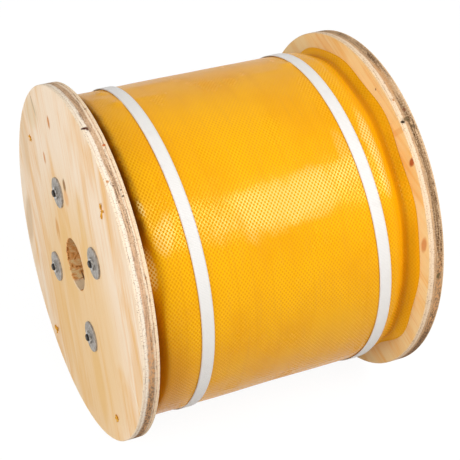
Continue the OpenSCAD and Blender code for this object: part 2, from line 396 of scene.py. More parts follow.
# Plies from the outer face inwards: (end of the ply in mm, screen colour)
LEFT_PLIES = [
    (2.6, (252, 232, 204)),
    (7, (254, 238, 216)),
    (12, (224, 186, 148)),
    (14.6, (248, 224, 192)),
    (15.3, (232, 190, 150)),
    (19, (248, 222, 186)),
]
RIGHT_PLIES = [
    (2.2, (232, 196, 152)),
    (5, (216, 180, 138)),
    (10, (198, 162, 120)),
    (12.6, (214, 172, 126)),
    (16.6, (246, 218, 184)),
    (19, (246, 216, 176)),
]
# Marks on the faces: (distances from the axis in mm, half sizes in mm, turn in degrees,
# screen colour, strength)
LEFT_MARKS = [
    ((19, 91.5), (5.5, 9), -14, (122, 74, 40), 1),
    ((15, 77.7), (9, 11), -8, (242, 174, 116), 0.75),
    ((61, 149.5), (4.5, 9), -18, (214, 140, 66), 1),
    ((88, 92), (4, 8), -18, (216, 142, 72), 0.9),
    ((57.6, 12.5), (7.5, 17), -14, (206, 126, 60), 1),
    ((55.5, 3), (3.5, 9), -14, (250, 218, 180), 0.7),
    ((118, 145), (3, 16), -42, (160, 142, 116), 0.6),
    ((172, 82), (22, 62), -10, (220, 178, 120), 0.4),
    ((128, 130), (30, 20), -30, (226, 196, 146), 0.4),
    ((178, -40), (16, 44), 10, (212, 176, 130), 0.6),
    ((-178, -60), (1, 27), -47, (254, 240, 214), 0.9),
    ((-60, -120), (20, 64), -18, (234, 186, 112), 0.7),
    ((20, -20), (26, 66), -18, (236, 192, 124), 0.6),
    ((-40, 60), (14, 60), -18, (238, 194, 126), 0.5),
    ((-20, -70), (150, 190), -18, (240, 192, 112), 0.6),
]
RIGHT_MARKS = [
    ((-69.3, 178.3), (1.6, 1.6), 0, (120, 70, 44), 0.9),
    ((-151.6, 128.8), (4.5, 9), 30, (176, 88, 46), 0.95),
    ((-187.8, 44.8), (6, 12), 10, (206, 124, 60), 0.7),
    ((-120, 150), (4, 30), 50, (236, 178, 104), 0.6),
]
# Marks on the rims: (clock angle, distance from the outer face in mm, half width and half
# length in mm, screen colour, strength)
LEFT_RIM_MARKS = [
    # the first two marks are a void, painted dark as the shade inside it
    (-15.5, 3.4, 5.6, 2.1, (70, 36, 24), 1),
    (-15.8, 5.8, 1.8, 3.8, (96, 54, 34), 1),
    (-35, 3.6, 1.7, 1.7, (210, 138, 74), 0.9),
    (-23.2, 14.6, 2, 1.9, (200, 108, 50), 1),
    (-64, 14.6, 1, 1.7, (176, 116, 58), 0.9),
    (-40.2, 13.9, 1.5, 0.8, (60, 44, 34), 0.9),
    (-38.3, 13.9, 1.5, 0.8, (60, 44, 34), 0.9),
    (-7, 15.2, 1.8, 1.3, (112, 76, 46), 0.8),
    (-106, 10.5, 4.5, 40, (96, 66, 38), 0.3),
    (-136, 11, 6.5, 50, (88, 62, 36), 0.6),
    (0, 9.5, 5.5, 50, (160, 120, 80), 0.4),
    (-75, 8.5, 2.2, 90, (226, 176, 138), 0.5),
]
RIGHT_RIM_MARKS = [
    (-37, 15.5, 3.6, 2, (52, 38, 24), 1),
    (-36.3, 10.5, 5, 3.2, (104, 84, 52), 0.8),
    (-29, 14, 1.3, 2, (196, 130, 70), 0.9),
    (-33, 7.5, 1.8, 2.6, (120, 70, 46), 0.9),
    (-39, 5, 2.6, 2.2, (96, 76, 54), 0.8),
    (-87, 7, 2.4, 4, (98, 84, 50), 0.9),
    (-120, 5, 5, 55, (104, 76, 50), 0.8),
    (-57, 6, 2.6, 60, (138, 104, 68), 0.7),
    (-10, 3.4, 1.4, 40, (120, 92, 62), 0.7),
    (-20, 9, 3.5, 30, (214, 150, 86), 0.5),
]

BORE_R = 0.030
BORE_SEAM = 0.0125
# Width over which a flange's face passes into its rim, its bore and its shaded inside
EASED = 0.0012


def plywood(name, plies, turn, seed, marks, rim_marks, pale, honey, shade, soil):
    """Rotary-cut face veneers, with the plies, their end grain and voids on every cut edge."""
    f = Finish(name, Specular_IOR_Level=0.25)
    axis_place = f.from_axis()
    along, height, off_axis, clock = f.fields(axis_place)
    depth = f.minus(FACE_X, f.math("ABSOLUTE", along))
    rim = f.span(off_axis, RIM_R - EASED, RIM_R - EASED / 4)
    bore = f.span(off_axis, BORE_R + EASED, BORE_R + EASED / 3)
    cut = f.math("MAXIMUM", rim, bore)
    shifted = f.vector("ADD", f.from_axis(turn), (seed * 1.7, seed * 0.31, seed * 0.13))
    fine = f.noise(shifted, (420, 900, 26), 3, 0.6, 0.3)

    # faces: cream veneer with soft honey flames and hair-fine fibres along the grain
    patch = f.noise(shifted, (20, 24, 6), 3, 0.55, 0.8)
    flame = f.noise(shifted, (60, 130, 7), 4, 0.6, 0.7)
    cloud = f.noise(shifted, (20, 14, 9), 4, 0.6)
    thin = f.noise(shifted, (60, 330, 8), 3, 0.6, 0.4)
    face = f.stain(
        pale,
        (patch, 0.44, 0.66, 0.5, honey),
        (flame, 0.42, 0.68, 1.0, honey, f.span(patch, 0.44, 0.66, 0.2, 0.8)),
        (thin, 0.52, 0.68, 0.6, rgb(238, 176, 96), f.span(cloud, 0.4, 0.6)),
        (cloud, 0.5, 0.78, 0.3, rgb(232, 198, 154)),
        (fine, 0.45, 0.85, 0.3, rgb(226, 186, 132)),
    )

    # cut edges: soft plies and rough end grain
    waver = f.noise(axis_place, 26, 4, 0.65)
    ply_depth = f.plus(depth, f.times(f.minus(waver, 0.5), 0.0026))
    share = f.math("DIVIDE", ply_depth, PLY_T)
    stops, low = [], 0.0
    for end, tint in plies:
        stops += [(at * MM / PLY_T, rgb(*tint)) for at in (low + 0.35, end - 0.35)]
        low = end
    strands = f.add("ShaderNodeCombineXYZ", {0: depth, 1: f.times(clock, RIM_R), 2: off_axis})
    mottle = f.noise(strands, (230, 60, 60), 4, 0.7, 0.3)
    speckle = f.noise(strands, (420, 900, 300), 3, 0.7)
    middle = f.times(f.span(share, 0.30, 0.42), f.span(share, 0.70, 0.56))
    edge = f.stain(
        f.ramp(share, stops),
        (mottle, 0.4, 0.7, 0.7, rgb(168, 134, 104), middle),
        (mottle, 0.52, 0.78, 0.35, rgb(190, 144, 100)),
        (speckle, 0.5, 0.72, 0.5, rgb(178, 134, 94)),
        (speckle, 0.59, 0.67, 0.55, rgb(122, 84, 54)),
        (speckle, 0.48, 0.3, 0.3, rgb(255, 240, 220)),
    )

    # old dirt in a zone of the plies, and flecks in it low on the rim
    stains = f.noise(strands, (600, 40, 40), 4, 0.75, 0.4)
    stretch = f.noise(strands, (30, 9, 20), 2)
    zone_low, zone_high, dirt_level, dirt_tint = soil
    zone = f.times(f.span(share, zone_low - 0.06, zone_low + 0.06),
                   f.span(share, zone_high + 0.08, zone_high - 0.08))
    dirt = f.times(f.span(stretch, 0.36, 0.52), zone, f.span(speckle, 0.38, 0.56, 0.35, 1.0))
    flecks = f.noise(strands, (480, 260, 260), 3, 0.75)
    core = f.times(f.span(height, 0.07, 0.0), zone)
    low_core = f.times(core, f.span(height, 0.03, -0.08, 0.25, 0.75))
    edge = f.stain(
        edge,
        (stains, dirt_level, dirt_level + 0.06, 1.0, dirt_tint, dirt),
        (flecks, 0.56, 0.44, 0.85, rgb(214, 158, 104), core),
        (flecks, 0.48, 0.54, 1.0, rgb(82, 58, 34), low_core),
    )

    # glue seams, which open into voids here and there, painted dark as the shade inside them, and
    # single marks
    voids = f.noise(strands, (300, 110, 60), 3, 0.6)
    seam = 0.0
    for end, _ in plies[:-1]:
        seam = f.math("MAXIMUM", seam, f.span(f.gap(ply_depth, end * MM), 0.0006, 0.0001))
    dark_seam = f.times(seam, f.span(voids, 0.52, 0.66))
    edge = f.blend(f.times(seam, 0.25), edge, rgb(196, 136, 104))
    edge = f.blend(f.times(dark_seam, 0.5), edge, rgb(120, 84, 62))
    for at, deep, wide, long, tint, strength in rim_marks:
        reach = f.reach(strands, (deep * MM, math.radians(at) * RIM_R, RIM_R),
                        (wide * MM, long * MM, 0.02), (0, 0, 0), mottle, 1.6)
        if long > 20:
            strength = f.span(speckle, 0.4, 0.56, strength * 0.35, strength)
        edge = f.stain(edge, (reach, 1.1, 0.5, 1.0, rgb(*tint), strength))

    # the bore's torn wall, its colours made lighter and warmer as painted bounce light in its
    # shade
    torn = f.noise(axis_place, (110, 330, 120), 4, 0.7, 0.6)
    wall = f.stain(
        rgb(255, 220, 160),
        (torn, 0.36, 0.58, 1.0, rgb(244, 166, 88)),
        (torn, 0.56, 0.64, 1.0, rgb(168, 96, 40)),
        (speckle, 0.55, 0.75, 0.5, rgb(150, 90, 46)),
        (depth, BORE_SEAM, BORE_SEAM - MM, 1.0, rgb(255, 226, 186),
         f.span(height, -0.0272, -0.0290)),
        (f.gap(depth, BORE_SEAM), 0.0011, 0.0004, 1.0, rgb(112, 66, 40),
         f.span(height, -0.020, -0.026)),
    )
    edge = f.blend(bore, edge, wall)

    for (across, up), (wide, tall), lean, tint, strength in marks:
        reach = f.reach(axis_place, (0, across * MM, up * MM), (9.0, wide * MM, tall * MM),
                        (math.radians(lean), 0, 0), flame, 0.6)
        face = f.stain(face, (reach, 1.1, 0.55, strength, rgb(*tint)))
    inner = depth, PLY_T - EASED, PLY_T - EASED / 3, shade, rgb(164, 112, 62)
    face = f.stain(face, inner)
    skin = f.times(fine, f.span(cut, 0.0, 1.0, 0.15, 0.4))
    relief = f.minus(f.plus(skin, f.times(speckle, cut)), f.times(dark_seam, 1.5))
    return f.finish(f.blend(cut, face, edge), f.span(cut, 0.0, 1.0, 0.55, 0.85),
                    f.bump(relief, 0.0006, 0.6))


class SPOOL_OT_flanges(bpy.types.Operator):
    """Veneer, plies, knots and edge voids of both plywood flanges"""

    bl_idname = "spool.flanges"
    bl_label = "Plywood flanges"

    def execute(self, context):
        wood = context.scene.spool_wood
        left = plywood(
            "plywood_left", LEFT_PLIES, wood.grain_turn, 1.0, LEFT_MARKS, LEFT_RIM_MARKS,
            wood.pale, wood.honey, 0.8, (0.3, 0.7, 0.515, rgb(118, 90, 68)),
        )
        right = plywood(
            "plywood_right", RIGHT_PLIES, wood.grain_turn + 0.9, 5.0, RIGHT_MARKS,
            RIGHT_RIM_MARKS, wood.inner_pale, wood.inner_honey, 0.0,
            (0.1, 0.5, 0.44, rgb(80, 50, 18)),
        )
        dress("left_flange", left)
        dress("right_flange", right)
        return {"FINISHED"}


# --- barrel and wire, inside ---

SPIRAL_PITCH = 0.09
WIRE_PITCH = 0.006


class SPOOL_OT_barrel(bpy.types.Operator):
    """Spiral-wound fibre board of the barrel, and the rows of wire on it"""

    bl_idname = "spool.barrel"
    bl_label = "Barrel and wire"

    def execute(self, context):
        f = Finish("fibre_board", Roughness=0.85)
        place = f.from_axis()
        along, _, _, clock = f.fields(place)
        spiral = f.plus(f.times(along, 1 / SPIRAL_PITCH), f.math("DIVIDE", clock, 2 * math.pi))
        lap = f.span(f.math("FRACT", spiral), 0.0, 0.03, 1.0, 0.0)
        fibre = f.noise(place, (180, 420, 420), 4, 0.7)
        tint = f.stain(rgb(176, 132, 88), (fibre, 0.35, 0.7, 1.0, rgb(150, 106, 66)))
        tint = f.blend(f.times(lap, 0.6), tint, rgb(96, 64, 40))
        relief = f.minus(f.times(fibre, 0.4), lap)
        dress("barrel", f.finish(tint, None, f.bump(relief, 0.0005, 0.5)))

        f = Finish("wire_insulation")
        place = f.from_axis()
        wave = f.wave(f.fields(place)[0], WIRE_PITCH)
        dust = f.noise(place, 60, 4)
        # painted shade in the grooves between the rows of wire
        tint = f.blend(f.span(wave, -1.0, -0.6, 1.0, 0.0), rgb(150, 84, 44), rgb(48, 26, 16))
        tint = f.stain(tint, (dust, 0.45, 0.8, 0.3, rgb(190, 140, 100)))
        dress("wire_pack", f.finish(tint, f.span(dust, 0.3, 0.7, 0.3, 0.5),
                                    f.bump(wave, 0.0012, 0.7)))
        return {"FINISHED"}


# --- rods, washers, nuts, buckles and brads ---


def zinc(name, tint, rough, blotch, scale, metallic=1.0):
    """Plated steel with rolled streaks and dull blotches."""
    f = Finish(name, Metallic=metallic)
    place = f.from_axis()
    cloud = f.noise(place, scale, 4, 0.65)
    streak = f.noise(place, (400, 900, 160), 2)
    dull = tuple(c * blotch for c in tint)
    paint = f.stain(tint, (cloud, 0.35, 0.68, 1.0, dull),
                    (streak, 0.4, 0.75, 0.25, rgb(120, 112, 102)))
    polish = f.span(cloud, 0.3, 0.7, rough, rough + 0.22)
    return f.finish(paint, polish, f.bump(streak, 0.0001, 0.25))


def rod_steel(steel):
    f = Finish("rod_steel", Metallic=0.55)
    cloud = f.noise(f.from_axis(), 420, 3)
    paint = f.stain(steel.rod, (cloud, 0.5, 0.8, 0.5, rgb(104, 72, 46)))
    return f.finish(paint, f.span(cloud, 0.3, 0.7, 0.4, 0.65), f.bump(cloud, 0.0002, 0.4))


THREAD_RIDGE = 0.00035
THREAD_TURNS = 1.3


def thread_tree():
    """A screw thread on each point, standing out along the point's own direction."""
    s = Shape("screw_thread", Radius="Float", Ridge="Float", Pitch="Float", Turns="Float")
    i = s.inputs
    helix = s.add(
        "GeometryNodeCurveSpiral",
        {"Resolution": 28, "Rotations": i["Turns"], "Start Radius": i["Radius"],
         "End Radius": i["Radius"], "Height": s.times(i["Pitch"], i["Turns"])},
    )
    ridge = s.circle(6, i["Ridge"])
    outward = s.add("GeometryNodeInputNamedAttribute", {"Name": "outward"},
                    data_type="FLOAT_VECTOR")
    aim = s.add("FunctionNodeAlignRotationToVector", {"Vector": outward}, axis="Z")
    return s.give(s.add(
        "GeometryNodeInstanceOnPoints",
        {"Points": i["Mesh"], "Instance": s.sweep(helix, ridge), "Rotation": aim},
    ))


class SPOOL_OT_steel(bpy.types.Operator):
    """Rods with their screw threads, washers, nuts, buckles and brads"""

    bl_idname = "spool.steel"
    bl_label = "Steel fittings"

    def execute(self, context):
        steel = context.scene.spool_steel
        black = rod_steel(steel)
        washer = zinc("washer_zinc", steel.washer, 0.4, 0.55, 240.0, 0.3)
        # the nut's strong dark blotches are partly dull zinc and partly painted dark reflections
        # on its small faces
        nut = zinc("nut_zinc", steel.nut, 0.16, 0.3, 420.0, 0.6)
        starts, outward = [], []
        for i in range(1, 5):
            dress(f"tie_rod_{i}", black)
            low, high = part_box(f"tie_rod_{i}")
            for side, direction in (("left", -1), ("right", 1)):
                dress(f"{side}_washer_{i}", washer)
                dress(f"{side}_nut_{i}", nut)
                nut_low, nut_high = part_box(f"{side}_nut_{i}")
                x = nut_low.x if direction < 0 else nut_high.x
                starts.append((x, (low.y + high.y) / 2, (low.z + high.z) / 2))
                outward.append((direction, 0, 0))
        rod_r = (high.y - low.y) / 2
        mesh = path_mesh("thread_starts", [([p], False) for p in starts], outward=outward)
        threads = shape_piece(
            "rod_threads", mesh, thread_tree(), Radius=rod_r, Ridge=THREAD_RIDGE,
            Pitch=steel.thread_pitch, Turns=THREAD_TURNS, Material=black,
        )
        wire = zinc("buckle_wire", rgb(196, 196, 194), 0.3, 0.8, 160.0)
        brad = zinc("brad_steel", rgb(206, 158, 84), 0.45, 0.7, 300.0, 0.6)
        for side in ("left", "right"):
            dress(f"{side}_buckle", wire)
            dress(f"{side}_brads", brad)
        return {"FINISHED"}


# --- wrap ---

# Puckers, pockets and dents: (x in mm, clock angle, half width in mm, half angle, lift in mm)
PUCKERS = [
    (-117, 1.5, 6, 2.2, 2.2),
    (-120, 13.5, 6, 1.8, 2),
    (-126, 7, 14, 3, 0.8),
    (-110, -131, 6, 4, 1.6),
    (-86, 2, 18, 1.6, 0.7),
    (-62, 13, 30, 3, 0.8),
    (93, 6, 6, 2, 2),
    (72, 3, 26, 1.6, 0.5),
    (102, -123, 5, 6, 1.6),
    (128, 3, 10, 5, 1.2),
    (14, -61, 22, 5, 0.9),
    (30, -70, 18, 3.5, -0.7),
    (-128, -60, 14, 6, 0.8),
    (-134, -46, 14, 4, -0.8),
    (-118, -104, 10, 12, 0.5),
]
# Waves of the turned-up edges: (waves round the edge, height in mm, clock angle)
LIP_WAVES = [(3, 1.86, 84), (8, 1.6, 137), (12, 1.67, -7)]
LEFT_TURN = 47
# Clock angles of the place where the left edge flares: of its middle, and of the part of its
# groove with the least painted shade
FLARE_AT = -65
LEAST_GROOVE_SHADE_AT = -68
# Radii in mm: over the wire, and at the tips of the turned-up edges
WRAP_R = 184.85
LIP_R = 182.5


def bell(a, middle, width):
    """1 at a clock angle, falling off smoothly to both sides of it."""
    away = (a - middle + 180) % 360 - 180
    return np.exp(-((away / width) ** 2))


def lip_wave(a):
    return sum(h * np.cos(np.radians(n * a - at)) for n, h, at in LIP_WAVES)


def edge_section(a, side):
    """Control points of one edge of the wrap at each clock angle, from the lip inwards."""
    if side == "left":
        wave = lip_wave(a + LEFT_TURN)
        flare = bell(a, FLARE_AT, 12)
        low = 162.2 + 0.3 * wave + 14 * flare
        fold = 6.0
        shoulder = 11.5 + 9 * bell(a, -104, 26) + 9.5 * flare + 3 * bell(a, 0, 25)
        tip = LIP_R + (1 - flare) * wave - flare
    else:
        wave, flare = lip_wave(a), 0.0
        low = 176.0 + 0.45 * wave + 1.5 * bell(a, 5, 14) - 3.0 * bell(a, -88, 22)
        fold = 11.5 + 1.5 * bell(a, -20, 18)
        shoulder = 34.0 + 2.0 * np.cos(np.radians(3 * a + 40))
        tip = LIP_R + wave
    rows = [
        (0.5, tip),
        (1.2, tip - (tip - low) * 0.35),
        (fold * 0.45, low + (tip - low) * 0.25),
        (fold, low),
        (fold + (shoulder - fold) * 0.35, low + (WRAP_R - low) * 0.42),
        (shoulder * 0.8, WRAP_R - (WRAP_R - low) * (0.05 + 0.15 * flare)),
        (shoulder, WRAP_R),
        (shoulder + 6, WRAP_R),
    ]
    inner = INNER_X / MM
    sign = -1 if side == "left" else 1
    return [(sign * (inner - x), r) for x, r in rows]


def rounded(line, times=3):
    """Cuts the corners of the poly-lines, keeping their ends."""
    for _ in range(times):
        near = 0.75 * line[:, :-1] + 0.25 * line[:, 1:]
        far = 0.25 * line[:, :-1] + 0.75 * line[:, 1:]
        mid = np.stack([near, far], 2).reshape(line.shape[0], -1, line.shape[2])
        line = np.concatenate([line[:, :1], mid, line[:, -1:]], 1)
    return line


def run_length(line):
    """How far each point of the poly-lines is from their start."""
    step = np.linalg.norm(np.diff(line, axis=1), axis=2)
    return np.concatenate([np.zeros((len(line), 1)), np.cumsum(step, 1)], 1)


def resampled(line, shares):
    """The poly-lines at these shares of their length."""
    out = np.empty((len(line), len(shares), line.shape[2]))
    for i, (row, at) in enumerate(zip(line, run_length(line))):
        for k in range(line.shape[2]):
            out[i, :, k] = np.interp(shares * at[-1], at, row[:, k])
    return out


def soft_noise(x, a, seed, waves=26, short=28.0, long=120.0):
    """Gentle swelling of a tight sheet: a sum of long waves in random directions."""
    rng = np.random.default_rng(seed)
    total = np.zeros_like(x)
    for _ in range(waves):
        size = rng.uniform(short, long)
        way = rng.uniform(0, math.pi)
        turns = round(2 * math.pi * WRAP_R * math.sin(way) / size)
        total += np.cos(2 * math.pi * x * math.cos(way) / size + np.radians(turns * a)
                        + rng.uniform(0, 6.28)) * size / long
    return total / math.sqrt(waves)


def wrap_mesh(wrap, rounds=420, columns=110):
    """The woven sheet: its outer end lies over its inner end, and both edges fold down
    beside the flanges and turn up against them. Returns the mesh and its flat size. Up to
    the last vertices all lengths are in mm."""
    start = math.degrees(wrap.seam)
    lap = math.degrees(wrap.overlap)
    turned = np.linspace(0, 360 + lap, rounds)
    a = start + turned
    section = edge_section(a, "left") + edge_section(a, "right")[::-1]
    line = rounded(np.stack([np.stack([x + 0 * a, r + 0 * a], 1) for x, r in section], 1))
    shares = np.linspace(0, 1, columns)
    shares -= 0.45 * np.sin(2 * math.pi * shares) / (2 * math.pi)
    line = resampled(line, shares)
    x, r = line[:, :, 0], line[:, :, 1].copy()
    angle_grid = np.repeat(a[:, None], columns, 1)
    top = np.clip((r - 174) / 9, 0, 1)
    r += top * 0.34 * soft_noise(x, angle_grid, 3)
    r += 0.15 * (1 - top) * soft_noise(x, angle_grid, 8, 20, 24.0, 60.0)
    for at_x, at_a, wide, tall, lift in PUCKERS:
        r += lift * np.exp(-(((x - at_x) / wide) ** 2)) * bell(angle_grid, at_a, tall)
    rad = np.radians(angle_grid)
    middle = np.stack([x, r * np.sin(rad), r * np.cos(rad)], 2)
    round_way = np.gradient(middle, axis=0)
    along_way = np.gradient(middle, axis=1)
    out = np.cross(along_way, round_way)
    out /= np.linalg.norm(out, axis=2, keepdims=True)
    t = wrap.thickness / MM
    ease = np.clip((turned - lap) / 6, 0, 1)
    under = -(t + 0.1) * (1 - ease * ease * (3 - 2 * ease))
    middle += out * under[:, None, None]
    v = np.concatenate([middle.reshape(-1, 3), (middle - out * t).reshape(-1, 3)]) * MM
    v[:, 2] += AXIS_H

    n = rounds * columns
    grid = np.arange(n).reshape(rounds, columns)
    sides = grid[:-1, :-1], grid[:-1, 1:], grid[1:, 1:], grid[1:, :-1]
    quads = np.stack([side.ravel() for side in sides], 1)
    faces = [quads, quads[:, ::-1] + n]
    for rim, way in ((grid[0], -1), (grid[-1], 1), (grid[:, 0], 1), (grid[:, -1], -1)):
        strip = np.stack([rim[:-1], rim[1:], rim[1:] + n, rim[:-1] + n], 1)
        faces.append(strip[:, ::way])
    faces = np.concatenate(faces)

    mesh = bpy.data.meshes.new("wrap")
    mesh.from_pydata(v.tolist(), [], faces.tolist())
    run = run_length(middle)
    for row, place in zip(run, x):
        row -= np.interp(0.0, place, row)
    u = run / (wrap.tape_along / MM)
    repeats = round(2 * math.pi * WRAP_R / (wrap.tape_round / MM))
    w = np.repeat((turned / 360 * repeats)[:, None], columns, 1)
    flat = np.stack([u, w], 2).reshape(-1, 2)
    corners = faces.ravel() % n
    mesh.uv_layers.new(name="weave").data.foreach_set("uv", flat[corners].ravel())
    width = float(np.mean(run[:, -1] - run[:, 0])) * MM
    return mesh, (width, math.radians(360 + lap) * WRAP_R * MM)


# Painted highlights, where the crossings are painted pale: (x in mm, clock angle, half width and
# half length in mm, turn in degrees, strength)
PAINTED_HIGHLIGHTS = [
    (-147.5, -63, 5, 25, 4, 0.7),
    (-143, -43.5, 4, 13, 10, 0.7),
    (-127, -53, 11, 22, -14, 0.5),
    (92, -42, 9, 36, 6, 0.3),
    (50, -55, 34, 16, 20, 0.3),
    (127, -42, 8, 50, 3, 0.8),
    (4, -52, 96, 27, 8, 0.45),
]


def wrap_weave(wrap):
    """Flat woven tapes: a chequer of glossy crossings and duller dots, painted highlights,
    painted shade in the folds and grooves, and a slow change of tone."""
    f = Finish("wrap_weave", IOR=1.5, Specular_Tint=(1.0, 0.85, 0.29))
    uv = f.add("ShaderNodeUVMap", uv_map="weave")
    u, w, _ = f.add("ShaderNodeSeparateXYZ", {0: uv}).outputs
    check = f.times(f.wave(u, 1.0), f.wave(w, 1.0))
    dots = f.span(check, -0.04, 0.26)
    tapes = f.noise(uv, (0.9, 0.02, 1), 2, 0.6)
    lines = f.noise(uv, (1.7, 0.1, 1), 2, 0.5)
    slow = f.noise(uv, (0.05, 0.04, 1), 3, 0.6)
    wear_and_highlight_noise = f.noise(uv, (0.11, 0.1, 1), 3, 0.6)
    groove_shade_mottle = f.noise(uv, (0.5, 0.35, 1), 4, 0.7)
    along, _, off_axis, clock = f.fields(f.from_axis())

    # tone, dots, painted shade in the folds (darkest on the left), beside the left flange, in the
    # right valley, in the left groove and low on the left, and lines along the tapes
    left_shade = f.span(clock, -1.6, -1.1, 0.4, 0.8)
    groove_shade_share = f.span(f.gap(clock, math.radians(LEAST_GROOVE_SHADE_AT)), 0.16, 0.36, 0.1, 0.85)
    tint = f.stain(
        wrap.cloth,
        (slow, 0.35, 0.7, 1.0, rgb(244, 171, 0)),
        (tapes, 0.5, 0.75, 0.25, rgb(222, 146, 0)),
        (check, -0.04, 0.26, 1.0, rgb(232, 150, 0), f.span(along, 0.140, 0.147, 0.85, 0.3)),
        # painted shade in the folds, where the wrap dips below its full radius
        (off_axis, 0.1825, 0.170, 1.0, rgb(158, 90, 0),
         f.span(along, -0.1, 0.1, left_shade, 0.15)),
        # painted shade beside the left flange
        (along, -0.145, -0.150, 0.6, rgb(140, 84, 0), f.span(off_axis, 0.178, 0.172)),
        # painted shade in the valley of the right fold
        (off_axis, 0.1835, 0.178, 0.6, rgb(196, 116, 0),
         f.span(along, 0.136, 0.144), f.span(along, 0.152, 0.147)),
        # painted shade in the left groove, mottled, and faint where the edge flares
        (along, -0.1385, -0.1465, 1.0, rgb(124, 74, 0), f.span(groove_shade_mottle, 0.3, 0.6, 0.4, 0.9),
         f.span(clock, -1.5, -1.2, 0.3, 1.0), groove_shade_share),
        # painted shade low down on the left
        (along, -0.105, -0.13, 0.4, rgb(196, 116, 0), f.span(clock, -1.3, -1.8)),
        (lines, 0.56, 0.7, 0.16, rgb(222, 156, 50)),
    )

    # painted highlights: the crossings painted pale in places
    spread = f.add("ShaderNodeCombineXYZ", {0: along, 1: f.times(clock, WRAP_R * MM)})
    pale = 0.0
    for x, at, wide, long, turn, strength in PAINTED_HIGHLIGHTS:
        reach = f.reach(spread, (x * MM, math.radians(at) * WRAP_R * MM, 0),
                        (wide * MM, long * MM, 1), (0, 0, math.radians(turn)), wear_and_highlight_noise, 1.5)
        pale = f.math("MAXIMUM", pale, f.span(reach, 1.15, 0.5, 0.0, strength))
    tint = f.blend(f.times(pale, f.span(dots, 0.5, 0.0)), tint, rgb(255, 224, 140))

    rough = f.plus(f.span(dots, 0.0, 0.6, 0.18, 1.0), f.span(wear_and_highlight_noise, 0.5, 0.72, 0.0, 0.2))
    rough = f.plus(rough, f.span(along, 0.146, 0.15, 0.0, 0.35))
    return f.finish(tint, rough, f.bump(f.times(dots, -1.0), 0.00025, 0.5))


class SPOOL_OT_wrap(bpy.types.Operator):
    """The woven wrap, stretched over the wire and folded up against both flanges"""

    bl_idname = "spool.wrap"
    bl_label = "Woven wrap"

    def execute(self, context):
        wrap = context.scene.spool_wrap
        mesh, flat = wrap_mesh(wrap)
        mesh.materials.append(wrap_weave(wrap))
        piece = add_piece("wrap_cloth", mesh)
        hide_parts("wrap")
        return {"FINISHED"}


# --- straps ---

# Path of each strap: middle in mm, lean and its angle, snake and its angle
STRAP_PATHS = {
    "left": (-100.56, 1.47, 51, 2.5, 90),
    "right": (109.87, 3.15, 30, 3.45, 67),
}
STRAP_R = 185.95
STRAP_WIDTH = 0.014
YARN_PITCH = 0.0009
ROWS_ROUND = 733
# The tail: half its angle, its least gap over the strap and its rise over the buckle in mm
TAIL_HALF = 15
TAIL_GAP = 1.25
TAIL_RISE = 4.3


def strap_x(side, a):
    middle, lean, lean_at, snake, snake_at = STRAP_PATHS[side]
    lean *= math.cos(math.radians(a - lean_at))
    return middle - lean + snake * math.cos(math.radians(2 * (a - snake_at)))


def strap_tree():
    """Sweeps a flat band along a path round the spool, and raises the weave's ribs on it."""
    s = Shape("woven_strap", Width="Float", Thickness="Float", Rib_Pitch="Float",
              Rib_Height="Float", Axis_Height="Float")
    i = s.inputs
    curve = s.add("GeometryNodeMeshToCurve", {0: i["Mesh"]})
    curve = s.add(
        "GeometryNodeResampleCurve",
        {"Curve": curve, "Length": s.math("DIVIDE", i["Rib Pitch"], 4.0)},
        mode="LENGTH",
    )
    _, y, z = s.add("ShaderNodeSeparateXYZ", {0: s.add("GeometryNodeInputPosition")}).outputs
    radial = s.add("ShaderNodeCombineXYZ", {1: y, 2: s.minus(z, i["Axis Height"])})
    outward = s.vector("NORMALIZE", radial)
    curve = s.add("GeometryNodeSetCurveNormal", {"Curve": curve, "Normal": outward}, mode="FREE")
    run = s.add("GeometryNodeSplineParameter").outputs["Length"]
    curve, run = s.captured(curve, run, "FLOAT", "POINT")
    band = s.add("GeometryNodeCurvePrimitiveQuadrilateral",
                 {"Width": i["Thickness"], "Height": i["Width"]})
    band = s.add("GeometryNodeResampleCurve", {"Curve": band, "Count": 22}, mode="COUNT")
    lift = s.times(s.wave(s.math("DIVIDE", run, i["Rib Pitch"]), 1.0), i["Rib Height"])
    return s.give(s.moved(s.sweep(curve, band), s.add("GeometryNodeInputNormal"), lift))


def strap_webbing(straps):
    """Bright yarns in fine rows, with a little painted shade between them and light soiling."""
    f = Finish("strap_webbing", Roughness=0.6, Sheen_Weight=0.15)
    place = f.from_axis()
    along, _, _, clock = f.fields(place)
    rows = f.wave(clock, 2 * math.pi / ROWS_ROUND)
    weave = f.times(f.wave(along, YARN_PITCH), rows)
    soil = f.noise(place, 45, 4, 0.6)
    # painted shade in the grooves between the rows
    tint = f.blend(f.span(rows, -1.0, 0.2, 0.3, 0.0), straps.webbing, rgb(206, 203, 200))
    tint = f.stain(tint, (weave, 0.2, 1.0, 0.16, rgb(214, 210, 206)),
                   (soil, 0.5, 0.78, 0.2, rgb(206, 198, 188)))
    return f.finish(tint, None, f.bump(weave, 0.00012, 0.4))


